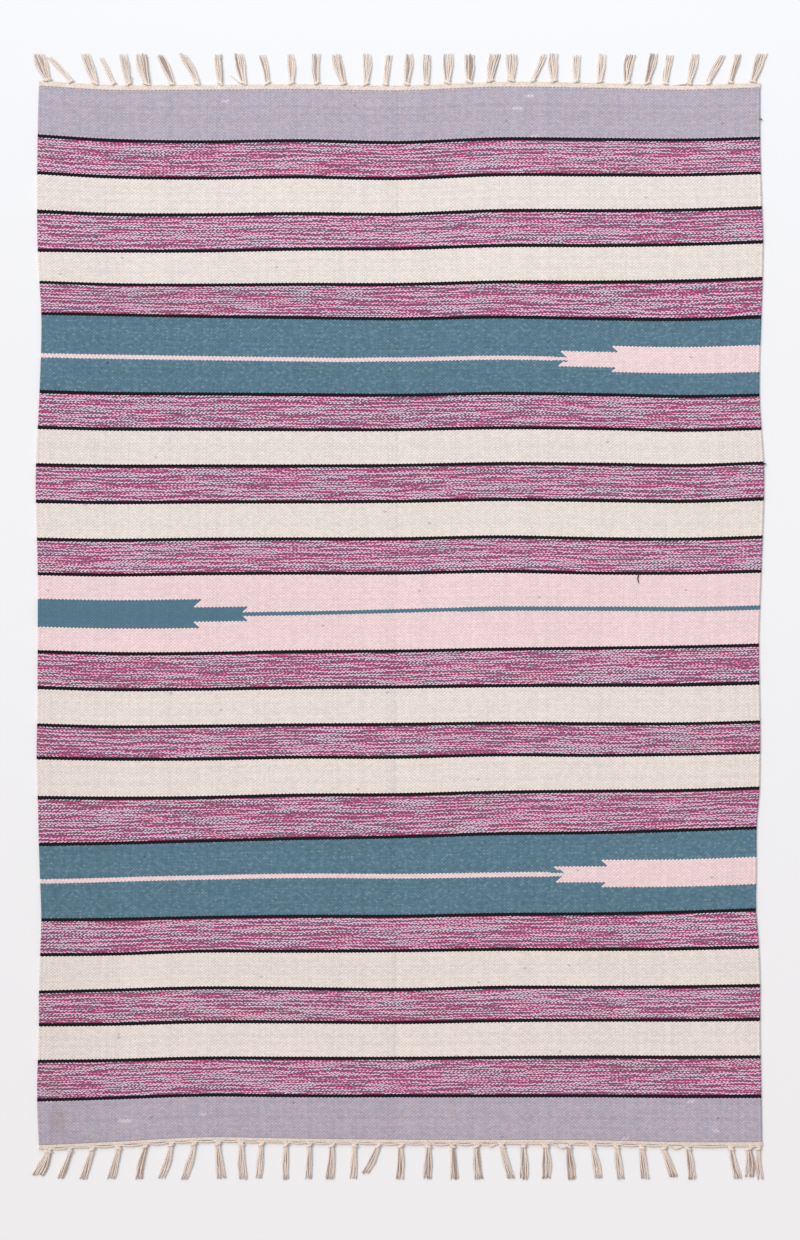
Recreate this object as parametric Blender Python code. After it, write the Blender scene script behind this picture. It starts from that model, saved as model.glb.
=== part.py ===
"""A flat-woven kilim rug with a knotted warp fringe, lying flat on the floor.

The cloth is one solid. At each end a narrow heading lies against it, and the fringe grows out of it: each
tassel is a knot that splits into a few strands. Metres, +Z up, +Y to the far end, +X to the right. The origin is
on the underside, at the middle of the cloth.
"""
import math
import random

import bmesh
import bpy
import numpy as np

MM = 0.001

# The cloth as it came off the loom, before it pulled out of true
WIDTH = 1200 * MM
LENGTH = 1741 * MM
THICKNESS = 4.0 * MM
ROWS_ALONG = 34

# Relief of the upper face
SELVEDGE_CORD = 5 * MM
SELVEDGE_RISE = 0.5 * MM
SELVEDGE_DIP = 0.7 * MM
EDGE_DROP = 1.2 * MM
SELVEDGE_STATIONS = (0, SELVEDGE_CORD / 2, SELVEDGE_CORD, 2 * SELVEDGE_CORD)
SELVEDGE_HEIGHTS = (-EDGE_DROP, SELVEDGE_RISE, -SELVEDGE_DIP, 0)
CREASE_AT = -6 * MM
CREASE_HALF_WIDTH = 9 * MM
CREASE_DEPTH = 1.1 * MM
SWELL_HEIGHT = 0.5 * MM
SWELL_LENGTH = 410 * MM
SWELL_SLANT = 2.2
SWELL_SPREAD = 4.1

# Where the cloth has a line of points: across the crease, in half widths of it, and beside it, counted in even
# parts of half the rug's width. The parts are narrow enough to keep the edge a steady gap away from the heading.
CREASE_LINES = (-2.4, -1, 0, 1, 2.4)
FIELD_PARTS = 22
FIELD_FIRST = 2

# How the weft rows and the selvedges wander, in millimetres. A row of the table is one weft, named by where it
# crosses the middle of the rug. The rise columns say how far that weft lies towards the far end at eight places
# across the rug, from the left selvedge to the right. The edge columns say how far each selvedge lies to the
# right of its straight line.
SECTION_COLUMNS = (
    "along", "left", "outer_left", "quarter_left", "inner_left",
    "inner_right", "quarter_right", "outer_right", "right", "left_edge", "right_edge",
)
SECTIONS = (
    (871, 8, 1, 1, 2, 6, 4, 1, 5, 1, -1),
    (785, 11, 4, 1, 3, 6, 5, 4, 7, -1, -1),
    (666, 5, 0, -1, 1, 6, 6, 7, 11, -2, 2),
    (610, -3, -4, -4, -1, 5, 5, 7, 11, -1, 4),
    (549, 4, 0, -1, 0, 4, 4, 6, 10, 2, 3),
    (493, 9, 7, 4, 2, 3, 0, -1, 3, 5, 1),
    (364, 6, 3, 2, 1, 3, 1, -2, 0, 2, -2),
    (248, 1, -1, -1, -1, 3, 2, 0, 4, -4, 5),
    (70, -1, -3, -1, 0, 3, 0, 0, 3, -1, 1),
    (-60, -1, -4, -4, -1, 3, 5, 7, 10, -1, -3),
    (-182, -1, -4, -3, -1, 2, 1, 1, 4, -2, -1),
    (-237, -1, -3, -3, 0, 4, 3, 5, 8, -3, -1),
    (-299, -5, -6, -5, -1, 4, 6, 7, 11, -1, -2),
    (-368, -13, -11, -7, -3, 5, 7, 11, 15, 1, -7),
    (-430, -10, -8, -5, -2, 4, 5, 5, 9, 3, -7),
    (-499, -6, -5, -2, 0, 3, 4, 7, 11, 5, -8),
    (-557, -7, -6, -1, -1, 2, 2, 3, 6, 3, -3),
    (-621, -4, -1, 3, 2, 4, 4, 5, 7, 1, -1),
    (-675, -4, -3, 1, 1, 3, 4, 4, 5, 1, -1),
    (-797, -7, -4, 1, 0, 0, 0, -1, -1, -2, 1),
    (-871, -9, -4, 4, 2, 0, -1, -4, -4, 1, 2),
)
RISE_PLACES = {
    "left": -600, "outer_left": -487, "quarter_left": -331, "inner_left": -172,
    "inner_right": 167, "quarter_right": 333, "outer_right": 476, "right": 600,
}

# The heading and its knots
HEADING_GAP = 0.5 * MM
HEADING_DEPTH = 8 * MM
HEADING_HEIGHT = 4.4 * MM
KNOT_BELLY = 4.5 * MM
KNOT_LENGTH = 9 * MM
KNOT_HEIGHT = 6.4 * MM
KNOT_CROWN = 0.84
KNOT_DOME = (0.22, 0.78)
NECK_HEIGHT = 4.6 * MM
ROOT_SHARE = 0.60
BELLY_SHARE = 0.72
NECK_SHARE = 0.56

# The strands that leave a knot
FRINGE_FAR_TIPS = 934 * MM
FRINGE_NEAR_TIPS = -938 * MM
STRAND_HEIGHT = 2.8 * MM
STRAND_RINGS = (0.22, 0.58, 1.0)
STRAND_CROWN = 0.66
STRAND_GAP = 0.7 * MM
ROOT_INSET = 0.3 * MM
TIP_SHARE = 0.72
TIP_STAGGER = 2.0 * MM
BOW = 1.6 * MM
STRANDS_BY_WIDTH = ((10, 2), (15.5, 3), (100, 4))

# Finish and shading
SHARP_ANGLE = math.radians(50)
WEFT_COLOUR = (0.40, 0.33, 0.40)
WEFT_ROUGHNESS = 0.92
WARP_COLOUR_FAR = (0.68, 0.58, 0.53)
WARP_COLOUR_NEAR = (0.66, 0.56, 0.51)
WARP_ROUGHNESS = 0.9
SEED_FAR = 11
SEED_NEAR = 12

# One row for each tassel, in millimetres: the knot's place from the middle, how far the tips lean to the
# right, the width of the spread strands, and how far they stop short of the fringe's trimmed edge.
TASSEL_COLUMNS = ("place", "lean", "width", "short")
TASSELS_FAR = (
    (-586, -15, 20, 0), (-547, -35, 9, 6), (-506, -16, 15, 0), (-476, -19, 7, 7), (-451, -8, 13, 1),
    (-420, -11, 18, 0), (-378, -21, 12, 2), (-336, -25, 12, 0), (-298, -4, 12, 1), (-259, -8, 15, 0),
    (-220, -8, 11, 2), (-180, -2, 12, 1), (-138, -1, 12, 0), (-94, -11, 15, 1), (-56, 2, 13, 0),
    (-23, 5, 11, 2), (12, 3, 13, 0), (45, 0, 12, 1), (80, 1, 15, 0), (116, 0, 16, 1),
    (151, 8, 17, 0), (186, 1, 17, 0), (222, 17, 10, 1), (257, -1, 15, 0), (294, 0, 12, 2),
    (333, 4, 13, 0), (378, 7, 15, 1), (412, 12, 13, 0), (443, 7, 11, 2), (482, 10, 12, 0),
    (514, 24, 10, 3), (551, 12, 11, 1), (588, 15, 16, 0),
)
TASSELS_NEAR = (
    (-585, -18, 18, 6), (-548, -17, 9, 2), (-512, -14, 12, 0), (-468, -13, 13, 1), (-424, -11, 12, 0),
    (-381, -15, 12, 2), (-343, -16, 12, 0), (-303, 6, 13, 1), (-264, 2, 13, 0), (-231, -4, 11, 2),
    (-190, -1, 11, 0), (-151, -1, 10, 1), (-114, -4, 12, 0), (-76, -3, 11, 1), (-38, -20, 12, 10),
    (0, -1, 12, 0), (46, -1, 14, 1), (87, 3, 11, 0), (126, 4, 14, 0), (169, 14, 12, 1),
    (204, 2, 12, 0), (241, 1, 15, 1), (280, 6, 12, 0), (319, 11, 12, 2), (359, 7, 12, 0),
    (401, 6, 12, 1), (437, 17, 12, 4), (478, 6, 12, 0), (549, 11, 12, 1), (578, 2, 15, 4),
    (594, 3, 9, 0),
)


def smooth_through(places, heights, at):
    """Heights at the places `at`, on the smooth curve through the given rising places."""
    places = np.asarray(places, dtype=float)
    heights = np.asarray(heights, dtype=float)
    slopes = np.gradient(heights, places)
    low = np.clip(np.searchsorted(places, at) - 1, 0, len(places) - 2)
    run = places[low + 1] - places[low]
    t = (at - places[low]) / run
    start = (1 + 2 * t) * heights[low] + t * run * slopes[low]
    end = (3 - 2 * t) * heights[low + 1] - (1 - t) * run * slopes[low + 1]
    return (1 - t) ** 2 * start + t ** 2 * end


def section_value(column, along):
    """A column of the table, in metres, at any place along the rug."""
    index = SECTION_COLUMNS.index(column)
    rows = sorted(SECTIONS)
    stations = [row[0] for row in rows]
    return float(smooth_through(stations, [row[index] for row in rows], along / MM)) * MM


def lay_row(along, across):
    """Where the points `across` of the weft row woven at `along` lie, as arrays of x and y."""
    across = np.asarray(across, dtype=float)
    rises = {place: section_value(column, along) for column, place in RISE_PLACES.items()}
    rises[0] = 0.0
    places = sorted(rises)
    rise = smooth_through([place * MM for place in places], [rises[place] for place in places], across)
    left = section_value("left_edge", along)
    right = section_value("right_edge", along)
    x = across + left + (right - left) * (across / WIDTH + 0.5)
    return x, along + rise


def top_height(across, along):
    """Height of the upper face: low swells, the crease at the middle, and a cord at each selvedge."""
    slant = SWELL_SLANT * across / WIDTH
    swell = math.sin(along / SWELL_LENGTH * math.tau + slant) * math.cos(SWELL_SPREAD * across / WIDTH)
    crease = math.exp(-((across - CREASE_AT) / CREASE_HALF_WIDTH) ** 2)
    edge = float(np.interp(WIDTH / 2 - abs(across), SELVEDGE_STATIONS, SELVEDGE_HEIGHTS))
    return THICKNESS + SWELL_HEIGHT * swell - CREASE_DEPTH * crease + edge


def new_object(name, bm, material):
    """A named object at the origin from a finished bmesh, faces turned outwards."""
    bmesh.ops.recalc_face_normals(bm, faces=bm.faces)
    mesh = bpy.data.meshes.new(name)
    bm.to_mesh(mesh)
    bm.free()
    mesh.shade_smooth()
    mesh.set_sharp_from_angle(angle=SHARP_ANGLE)
    mesh.materials.append(material)
    piece = bpy.data.objects.new(name, mesh)
    bpy.context.scene.collection.objects.link(piece)
    return piece


def make_material(name, colour, roughness):
    """A plain cotton finish."""
    material = bpy.data.materials.new(name)
    material.use_nodes = True
    shader = material.node_tree.nodes["Principled BSDF"]
    shader.inputs["Base Color"].default_value = (*colour, 1.0)
    shader.inputs["Roughness"].default_value = roughness
    shader.inputs["Metallic"].default_value = 0.0
    return material


def cloth_columns():
    """Places across the rug where the cloth has a line of points."""
    selvedge = [WIDTH / 2 - station for station in SELVEDGE_STATIONS]
    crease = [CREASE_AT + CREASE_HALF_WIDTH * step for step in CREASE_LINES]
    steps = range(FIELD_FIRST, FIELD_PARTS)
    between = [side * WIDTH / 2 * step / FIELD_PARTS for side in (-1, 1) for step in steps]
    return sorted([-place for place in selvedge] + selvedge + crease + between)


def make_cloth(material):
    """The woven cloth: a relief grid on top, upright edges, one flat face below."""
    bm = bmesh.new()
    columns = cloth_columns()
    rows = []
    for along in np.linspace(LENGTH / 2, -LENGTH / 2, ROWS_ALONG):
        x, y = lay_row(along, columns)
        places = zip(x, y, [top_height(column, along) for column in columns])
        rows.append([bm.verts.new(place) for place in places])
    for far, near in zip(rows, rows[1:]):
        for i in range(len(columns) - 1):
            bm.faces.new((far[i], near[i], near[i + 1], far[i + 1]))
    rim = [edge for edge in bm.edges if edge.is_boundary]
    walls = bmesh.ops.extrude_edge_only(bm, edges=rim)["geom"]
    for vert in (item for item in walls if isinstance(item, bmesh.types.BMVert)):
        vert.co.z = 0.0
    bmesh.ops.holes_fill(bm, edges=[edge for edge in bm.edges if edge.is_boundary], sides=0)
    return new_object("woven_field", bm, material)


def shape_row(faces, bottom_x, top_x, y, heights):
    """Set the corners of a row of upright faces, their bottoms on the floor."""
    corners = sorted({vert for face in faces for vert in face.verts}, key=lambda vert: vert.co.z)
    half = len(corners) // 2
    bottoms = sorted(corners[:half], key=lambda vert: vert.co.x)
    tops = sorted(corners[half:], key=lambda vert: vert.co.x)
    for vert, x in zip(bottoms, bottom_x):
        vert.co = (x, y, 0.0)
    for vert, x, height in zip(tops, top_x, heights):
        vert.co = (x, y, height)


def pull_row(bm, faces):
    """Extrude touching faces as one, leaving none behind, and give back the new ones."""
    edges = list({edge for face in faces for edge in face.edges})
    pulled = bmesh.ops.extrude_face_region(bm, geom=faces + edges)["geom"]
    return [item for item in pulled if isinstance(item, bmesh.types.BMFace)]


def strand_count(width):
    """Strands that a tassel of this width, in millimetres, is built with."""
    return next(count for limit, count in STRANDS_BY_WIDTH if width < limit)


def spread(middle, width, parts):
    """The parts + 1 even places across a width."""
    return [middle + width * (i / parts - 0.5) for i in range(parts + 1)]


def grow_knot(bm, faces, tassel, root_y, end):
    """Pull the heading's faces out into a knot with a belly and a neck. Returns the neck's faces."""
    parts = len(faces)
    width = tassel["width"] * MM
    low, high = KNOT_DOME
    dome = [math.sin(math.pi * (low + (high - low) * i / parts)) for i in range(parts + 1)]
    for share, out, height in (
        (BELLY_SHARE, KNOT_BELLY, KNOT_HEIGHT),
        (NECK_SHARE, KNOT_LENGTH, NECK_HEIGHT),
    ):
        faces = pull_row(bm, faces)
        row = spread(tassel["place"] * MM, width * share, parts)
        crown = spread(tassel["place"] * MM, width * share * KNOT_CROWN, parts)
        shape_row(faces, row, crown, root_y + end * out, [height * rise for rise in dome])
    return faces


def grow_strands(bm, faces, tassel, root_y, end, rng):
    """Split the knot's neck into strands and lay each on the floor, leaning and slightly bowed."""
    bmesh.ops.inset_individual(bm, faces=faces, thickness=ROOT_INSET, use_even_offset=True)
    faces = sorted(faces, key=lambda face: face.calc_center_median().x)
    parts = len(faces)
    neck_y = root_y + end * KNOT_LENGTH
    trimmed = FRINGE_FAR_TIPS if end > 0 else FRINGE_NEAR_TIPS
    bow = rng.uniform(-BOW, BOW)
    for i, face in enumerate(faces):
        tip_y = trimmed - end * (tassel["short"] * MM + rng.uniform(0, TIP_STAGGER))
        for share in STRAND_RINGS:
            face = bmesh.ops.extrude_discrete_faces(bm, faces=[face])["faces"][0]
            opened = NECK_SHARE + (1 - NECK_SHARE) * min(1, share / STRAND_RINGS[1])
            pitch = tassel["width"] * MM * opened / parts
            middle = tassel["place"] * MM + tassel["lean"] * MM * share + bow * math.sin(math.pi * share)
            middle += (i - (parts - 1) / 2) * pitch
            wide = pitch - STRAND_GAP
            if share == 1:
                wide *= TIP_SHARE
            y = neck_y + (tip_y - neck_y) * share
            shape_row([face], spread(middle, wide, 1), spread(middle, wide * STRAND_CROWN, 1), y,
                      (STRAND_HEIGHT, STRAND_HEIGHT))


def make_fringe(name, end, tassels, seed, material):
    """The heading of one end with all its tassels. `end` is 1 at the far end and -1 at the near one."""
    rng = random.Random(seed)
    bm = bmesh.new()
    tassels = [dict(zip(TASSEL_COLUMNS, row)) for row in tassels]
    across = [-WIDTH / 2]
    for tassel in tassels:
        parts = strand_count(tassel["width"])
        across += spread(tassel["place"] * MM, tassel["width"] * MM * ROOT_SHARE, parts)
    across.append(WIDTH / 2)
    x, edge = lay_row(end * LENGTH / 2, across)
    sections = []
    for i in range(len(across)):
        inner = edge[i] + end * HEADING_GAP
        outer = edge[i] + end * HEADING_DEPTH
        corners = ((inner, 0), (outer, 0), (outer, HEADING_HEIGHT), (inner, HEADING_HEIGHT))
        sections.append([bm.verts.new((x[i], y, z)) for y, z in corners])
    for left, right in zip(sections, sections[1:]):
        for a, b in ((0, 1), (1, 2), (2, 3), (3, 0)):
            bm.faces.new((left[a], left[b], right[b], right[a]))
    bm.faces.new(sections[0])
    bm.faces.new(reversed(sections[-1]))
    bmesh.ops.recalc_face_normals(bm, faces=bm.faces)
    outer_faces = {}
    for i in range(len(sections) - 1):
        corners = set(sections[i][1:3] + sections[i + 1][1:3])
        outer_faces[i] = next(face for face in sections[i][1].link_faces if set(face.verts) == corners)
    station = 1
    for tassel in tassels:
        parts = strand_count(tassel["width"])
        roots = [outer_faces[station + i] for i in range(parts)]
        root_y = float(np.mean(edge[station:station + parts + 1])) + end * HEADING_DEPTH
        neck = grow_knot(bm, roots, tassel, root_y, end)
        grow_strands(bm, neck, tassel, root_y, end, rng)
        station += parts + 1
    return new_object(name, bm, material)


def main():
    """Clear the scene and build the three pieces."""
    for item in list(bpy.data.objects):
        bpy.data.objects.remove(item, do_unlink=True)
    make_cloth(make_material("kilim_weft", WEFT_COLOUR, WEFT_ROUGHNESS))
    far_cotton = make_material("warp_cotton_far", WARP_COLOUR_FAR, WARP_ROUGHNESS)
    near_cotton = make_material("warp_cotton_near", WARP_COLOUR_NEAR, WARP_ROUGHNESS)
    make_fringe("heading_fringe_far", 1, TASSELS_FAR, SEED_FAR, far_cotton)
    make_fringe("heading_fringe_near", -1, TASSELS_NEAR, SEED_NEAR, near_cotton)


main()
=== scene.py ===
# %% [markdown]
# A kilim is a rug with no pile. Coloured weft yarns are beaten down so hard that they hide the white warps,
# and what is left of the warps hangs out at both ends and is knotted into tassels. This rug lies flat on a
# pale floor and is seen from straight above. The imported solids are loaded first, because every piece below
# takes its place from them. The box of the woven solid is kept, and its size is printed.

import math
import random

import bpy
import numpy as np
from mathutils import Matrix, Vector


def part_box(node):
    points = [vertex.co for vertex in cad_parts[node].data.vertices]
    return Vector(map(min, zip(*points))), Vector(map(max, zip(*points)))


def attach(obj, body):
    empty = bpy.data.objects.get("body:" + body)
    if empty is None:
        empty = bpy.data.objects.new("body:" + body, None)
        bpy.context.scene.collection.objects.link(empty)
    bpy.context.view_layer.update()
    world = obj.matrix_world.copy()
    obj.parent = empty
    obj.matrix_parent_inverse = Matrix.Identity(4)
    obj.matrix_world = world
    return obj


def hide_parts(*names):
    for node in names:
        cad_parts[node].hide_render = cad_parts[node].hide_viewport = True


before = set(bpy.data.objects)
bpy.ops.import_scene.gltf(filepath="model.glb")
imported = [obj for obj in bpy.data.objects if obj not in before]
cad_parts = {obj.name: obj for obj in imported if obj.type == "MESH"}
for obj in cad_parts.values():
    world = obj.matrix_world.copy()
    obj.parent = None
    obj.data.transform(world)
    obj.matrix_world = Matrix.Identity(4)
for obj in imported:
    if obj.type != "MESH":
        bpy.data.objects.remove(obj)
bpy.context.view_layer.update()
cloth_low, cloth_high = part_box("woven_field")
print("cloth solid, mm:", [round(side * 1000, 1) for side in cloth_high - cloth_low])

# %% [markdown]
# A hand-woven rug is never a true rectangle. The weaver counts warps and picks, not millimetres, so the
# sizes here are those of the loom: how many warps across, how many picks along, and how far apart they lie.
# The tables then say how far each line of weft wandered when the rug came off the loom. They are the ones
# that the solids use.

# %% Sizes of the rug on the loom
MM = 0.001
WIDTH = 1200 * MM
LENGTH = 1741 * MM
THICKNESS = 4.0 * MM
WARPS = 391
PICKS = 672
WARP_PITCH = WIDTH / WARPS
PICK_PITCH = LENGTH / PICKS

SECTION_COLUMNS = (
    "along", "left", "outer_left", "quarter_left", "inner_left",
    "inner_right", "quarter_right", "outer_right", "right", "left_edge", "right_edge",
)
SECTIONS = (
    (871, 8, 1, 1, 2, 6, 4, 1, 5, 1, -1),
    (785, 11, 4, 1, 3, 6, 5, 4, 7, -1, -1),
    (666, 5, 0, -1, 1, 6, 6, 7, 11, -2, 2),
    (610, -3, -4, -4, -1, 5, 5, 7, 11, -1, 4),
    (549, 4, 0, -1, 0, 4, 4, 6, 10, 2, 3),
    (493, 9, 7, 4, 2, 3, 0, -1, 3, 5, 1),
    (364, 6, 3, 2, 1, 3, 1, -2, 0, 2, -2),
    (248, 1, -1, -1, -1, 3, 2, 0, 4, -4, 5),
    (70, -1, -3, -1, 0, 3, 0, 0, 3, -1, 1),
    (-60, -1, -4, -4, -1, 3, 5, 7, 10, -1, -3),
    (-182, -1, -4, -3, -1, 2, 1, 1, 4, -2, -1),
    (-237, -1, -3, -3, 0, 4, 3, 5, 8, -3, -1),
    (-299, -5, -6, -5, -1, 4, 6, 7, 11, -1, -2),
    (-368, -13, -11, -7, -3, 5, 7, 11, 15, 1, -7),
    (-430, -10, -8, -5, -2, 4, 5, 5, 9, 3, -7),
    (-499, -6, -5, -2, 0, 3, 4, 7, 11, 5, -8),
    (-557, -7, -6, -1, -1, 2, 2, 3, 6, 3, -3),
    (-621, -4, -1, 3, 2, 4, 4, 5, 7, 1, -1),
    (-675, -4, -3, 1, 1, 3, 4, 4, 5, 1, -1),
    (-797, -7, -4, 1, 0, 0, 0, -1, -1, -2, 1),
    (-871, -9, -4, 4, 2, 0, -1, -4, -4, 1, 2),
)
RISE_PLACES = {
    "left": -600, "outer_left": -487, "quarter_left": -331, "inner_left": -172,
    "inner_right": 167, "quarter_right": 333, "outer_right": 476, "right": 600,
}
print("warp pitch", round(WARP_PITCH / MM, 3), "mm, pick pitch", round(PICK_PITCH / MM, 3), "mm")

# %% [markdown]
# Between the rows of the table the cloth bends smoothly, so a smooth curve is run through each column of
# it. The same curve then carries every point of a weft row to its place.

# %% Where each weft row lies
def smooth_through(places, heights, at):
    """Heights at the places `at`, on the smooth curve through the given rising places."""
    places = np.asarray(places, dtype=float)
    heights = np.asarray(heights, dtype=float)
    slopes = np.gradient(heights, places)
    low = np.clip(np.searchsorted(places, at) - 1, 0, len(places) - 2)
    run = places[low + 1] - places[low]
    t = (at - places[low]) / run
    start = (1 + 2 * t) * heights[low] + t * run * slopes[low]
    end = (3 - 2 * t) * heights[low + 1] - (1 - t) * run * slopes[low + 1]
    return (1 - t) ** 2 * start + t ** 2 * end


def named(columns, rows):
    """The rows of a table as named values."""
    return [dict(zip(columns, row)) for row in rows]


def section_value(column, along):
    """A column of the table, in metres, at any place along the rug."""
    rows = named(SECTION_COLUMNS, sorted(SECTIONS))
    stations = [row["along"] for row in rows]
    return float(smooth_through(stations, [row[column] for row in rows], along / MM)) * MM


def lay_row(along, across):
    """Where the points `across` of the weft row woven at `along` lie, as arrays of x and y."""
    across = np.asarray(across, dtype=float)
    rises = {place: section_value(column, along) for column, place in RISE_PLACES.items()}
    rises[0] = 0.0
    places = sorted(rises)
    rise = smooth_through([place * MM for place in places], [rises[place] for place in places], across)
    left = section_value("left_edge", along)
    right = section_value("right_edge", along)
    x = across + left + (right - left) * (across / WIDTH + 0.5)
    return x, along + rise


far_edge = lay_row(LENGTH / 2, [-WIDTH / 2, 0, WIDTH / 2])[1]
print("far edge at left, middle and right, mm:", [round(y / MM, 1) for y in far_edge])

# %% [markdown]
# The upper face is not quite level. It gets the low swells, the fold mark down the middle and the thick
# cord at each selvedge that the solid has, each as a height that is added to the thickness.

# %% Height of the upper face
SELVEDGE_CORD = 5 * MM
SELVEDGE_STATIONS = (0, SELVEDGE_CORD / 2, SELVEDGE_CORD, 2 * SELVEDGE_CORD)
SELVEDGE_HEIGHTS = (-1.2 * MM, 0.5 * MM, -0.7 * MM, 0)
CREASE_AT = -6 * MM
CREASE_HALF_WIDTH = 9 * MM
CREASE_DEPTH = 1.1 * MM
SWELL_HEIGHT = 0.5 * MM
SWELL_LENGTH = 410 * MM
SWELL_SLANT = 2.2
SWELL_SPREAD = 4.1


def top_height(across, along):
    """Height of the upper face: low swells, the crease at the middle, and a cord at each selvedge."""
    slant = SWELL_SLANT * across / WIDTH
    swell = np.sin(along / SWELL_LENGTH * math.tau + slant) * np.cos(SWELL_SPREAD * across / WIDTH)
    crease = np.exp(-((across - CREASE_AT) / CREASE_HALF_WIDTH) ** 2)
    edge = np.interp(WIDTH / 2 - np.abs(across), SELVEDGE_STATIONS, SELVEDGE_HEIGHTS)
    return THICKNESS + SWELL_HEIGHT * swell - CREASE_DEPTH * crease + edge


print("upper face at the middle, mm:", round(float(top_height(np.array(0.0), np.array(0.0))) / MM, 2))

# %% [markdown]
# The rug is looked at from straight above, with its far end at the top of the picture. A long lens held
# high keeps the edges straight, as a picture of a flat thing wants, and still lets the camera be walked
# round the rug. The picture is 800 by 1240 dots, and the rug's 1.2 m fill 723 of them, which gives the
# width of a dot.

# %% Camera
PICTURE_HIGH = 1240
DOT = 1.662 * MM
LENS = 85.0
SENSOR = 36.0
VIEW_MIDDLE = (0.8 * MM, -7.9 * MM)


def add_object(name, data):
    """A new object that holds `data`, put in the scene."""
    piece = bpy.data.objects.new(name, data)
    bpy.context.scene.collection.objects.link(piece)
    return piece


camera = add_object("camera", bpy.data.cameras.new("camera"))
camera.data.lens = LENS
camera.data.sensor_width = SENSOR
camera_height = PICTURE_HIGH * DOT * LENS / SENSOR
camera.location = (*VIEW_MIDDLE, camera_height)
bpy.context.scene.camera = camera
print("camera is", round(camera_height, 3), "m above the floor")

# %% [markdown]
# Cloth shows its weave only when some of the light comes from one side. A bright even sky stands for a
# white studio, and one broad warm light at the far left picks out the yarns and lays a faint shadow to the
# right of each tassel. The far end of the rug is a little lighter and cooler than the near end, as if it
# lay nearer to a window, so a large bluish light stands there.

# %% Light
SKY_STRENGTH = 0.505
KEY_STRENGTH = 1.74
KEY_COLOUR = (1.0, 0.885, 0.825)
KEY_SOFTNESS = math.radians(28)
KEY_TRAVEL = Vector((0.62, -0.42, -0.86))
WINDOW_WATTS = 76.0
WINDOW_COLOUR = (0.63, 0.88, 1.0)
WINDOW_SIZE = 2.5
WINDOW_AT = Vector((0, 3.8, 3.2))

world = bpy.data.worlds.new("studio")
world.use_nodes = True
sky = world.node_tree.nodes["Background"]
sky.inputs["Color"].default_value = (1.0, 1.0, 1.0, 1.0)
sky.inputs["Strength"].default_value = SKY_STRENGTH
bpy.context.scene.world = world
bpy.context.scene.view_settings.view_transform = "Standard"


def add_light(name, kind, energy, colour, travel):
    """A light that shines along `travel`."""
    data = bpy.data.lights.new(name, kind)
    data.energy = energy
    data.color = colour
    light = add_object(name, data)
    light.rotation_euler = travel.to_track_quat("-Z", "Y").to_euler()
    return light


key = add_light("key", "SUN", KEY_STRENGTH, KEY_COLOUR, KEY_TRAVEL)
key.data.angle = KEY_SOFTNESS
window = add_light("window", "AREA", WINDOW_WATTS, WINDOW_COLOUR, -WINDOW_AT)
window.data.size = WINDOW_SIZE
window.location = WINDOW_AT
print("lights:", key.name, "and", window.name)

# %% [markdown]
# The floor is plain and pale, so that nothing draws the eye from the rug. It belongs to the studio and not
# to the rug. It lies a hair below the rug, because two faces at one height fight over which one shows.

# %% Floor
FLOOR_COLOUR = (0.86, 0.855, 0.875, 1.0)
FLOOR_SIZE = 14.0
FLOOR_DROP = 0.4 * MM
FLOOR_ROUGHNESS = 0.9
FLOOR_SHINE = 0.1

bpy.ops.object.select_all(action="DESELECT")
bpy.ops.mesh.primitive_plane_add(size=FLOOR_SIZE, location=(0, 0, -FLOOR_DROP))
floor = bpy.context.object
floor.name = "floor"
bpy.ops.object.transform_apply(location=True, rotation=True, scale=True)
floor_paint = bpy.data.materials.new("floor_paint")
floor_paint.use_nodes = True
floor_shader = floor_paint.node_tree.nodes["Principled BSDF"]
floor_shader.inputs["Base Color"].default_value = FLOOR_COLOUR
floor_shader.inputs["Roughness"].default_value = FLOOR_ROUGHNESS
floor_shader.inputs["Specular IOR Level"].default_value = FLOOR_SHINE
floor.data.materials.append(floor_paint)
print("floor", FLOOR_SIZE, "m square")

# %% [markdown]
# A shader that weaves is mostly arithmetic. Wiring it by hand would hide that, so one small class lets
# Python's own signs stand for Math nodes: `1 - mask` adds a Subtract node and gives back its output. Every
# other node comes from one method, which sets the node up first and then feeds its sockets.

# %% Shader arithmetic
class Wire:
    """An output of a shader node. Python's operators on it add Math nodes."""

    def __init__(self, tree, socket=None):
        self.tree = tree
        self.socket = socket

    def node(self, kind, inputs=(), out=0, **settings):
        """Add a node, set it up, feed its sockets, and give back one of its outputs."""
        made = self.tree.nodes.new(kind)
        for name, value in settings.items():
            setattr(made, name, value)
        pairs = inputs.items() if isinstance(inputs, dict) else enumerate(inputs)
        for place, value in pairs:
            if isinstance(value, Wire):
                self.tree.links.new(value.socket, made.inputs[place])
            else:
                made.inputs[place].default_value = value
        return Wire(self.tree, made.outputs[out])

    def other(self, number):
        """Another output of the same node."""
        return Wire(self.tree, self.socket.node.outputs[number])

    def maths(self, operation, *values):
        return self.node("ShaderNodeMath", values, operation=operation)

    def __add__(self, other):
        return self.maths("ADD", self, other)

    def __sub__(self, other):
        return self.maths("SUBTRACT", self, other)

    def __rsub__(self, other):
        return self.maths("SUBTRACT", other, self)

    def __mul__(self, other):
        return self.maths("MULTIPLY", self, other)

    def __gt__(self, other):
        return self.maths("GREATER_THAN", self, other)

    def __lt__(self, other):
        return self.maths("LESS_THAN", self, other)

    __radd__ = __add__
    __rmul__ = __mul__


print("signs that add Math nodes: + - * > <")

# %% [markdown]
# The cloth is one sheet, so it starts as one grid. Real weft lies over the warps in small ridges that run
# the length of the rug, and they are wide enough to model: three faces for each warp give a valley and a
# round top. The rows of the grid are far coarser than the picks, because single picks are too many to model
# and come from the finish instead.

# %% The woven cloth
FACES_PER_WARP = 3
CLOTH_ROWS = 80
RIB_HEIGHT = 0.34 * MM
RIB_UNEVEN = 0.10 * MM
WARP_WANDER = 0.16 * MM


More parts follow.
